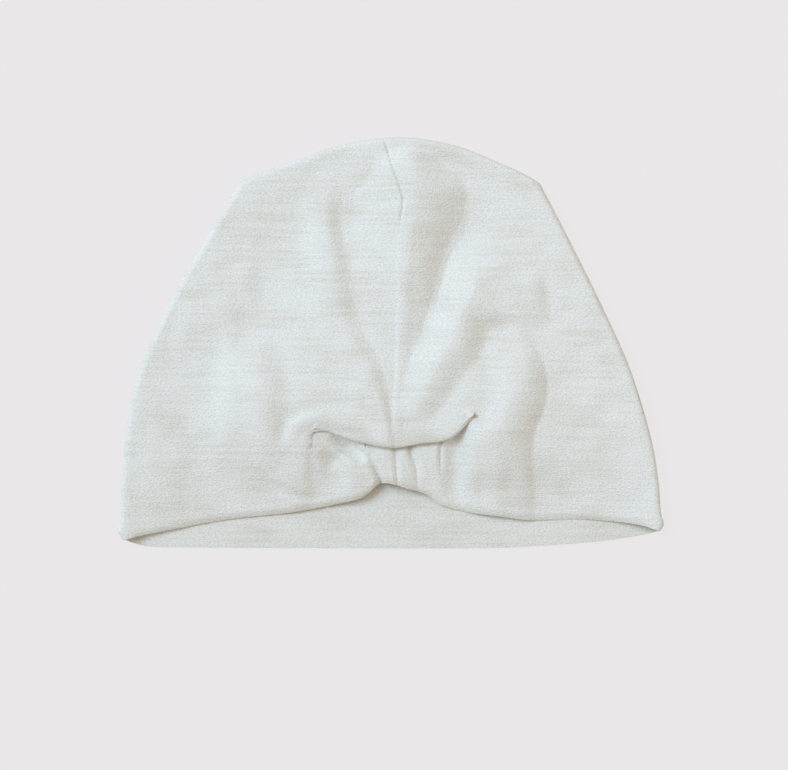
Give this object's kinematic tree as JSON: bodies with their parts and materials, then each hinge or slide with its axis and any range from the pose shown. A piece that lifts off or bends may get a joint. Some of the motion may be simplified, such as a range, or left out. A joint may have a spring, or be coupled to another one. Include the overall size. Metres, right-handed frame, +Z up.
{
  "type": "beanie",
  "caption": "Soft ivory knit beanie lying flat, back up, its hem gathered on elastic at the centre back under a pouch of cloth",
  "frame": {"origin": "on the surface the beanie lies on, under the middle of its box", "axes": "+X across the cap to the right of the gathered back, +Y from the mouth to the crown, +Z up through the back panels"},
  "size_m": [0.2658, 0.2004, 0.0263],
  "materials": {
    "knit": "matt ivory slub terry knit with faint crosswise streaks"
  },
  "bodies": {
    "root": {"front_panel": "knit", "back_left_panel": "knit", "back_right_panel": "knit", "gathered_casing": "knit"}
  },
  "joints": []
}
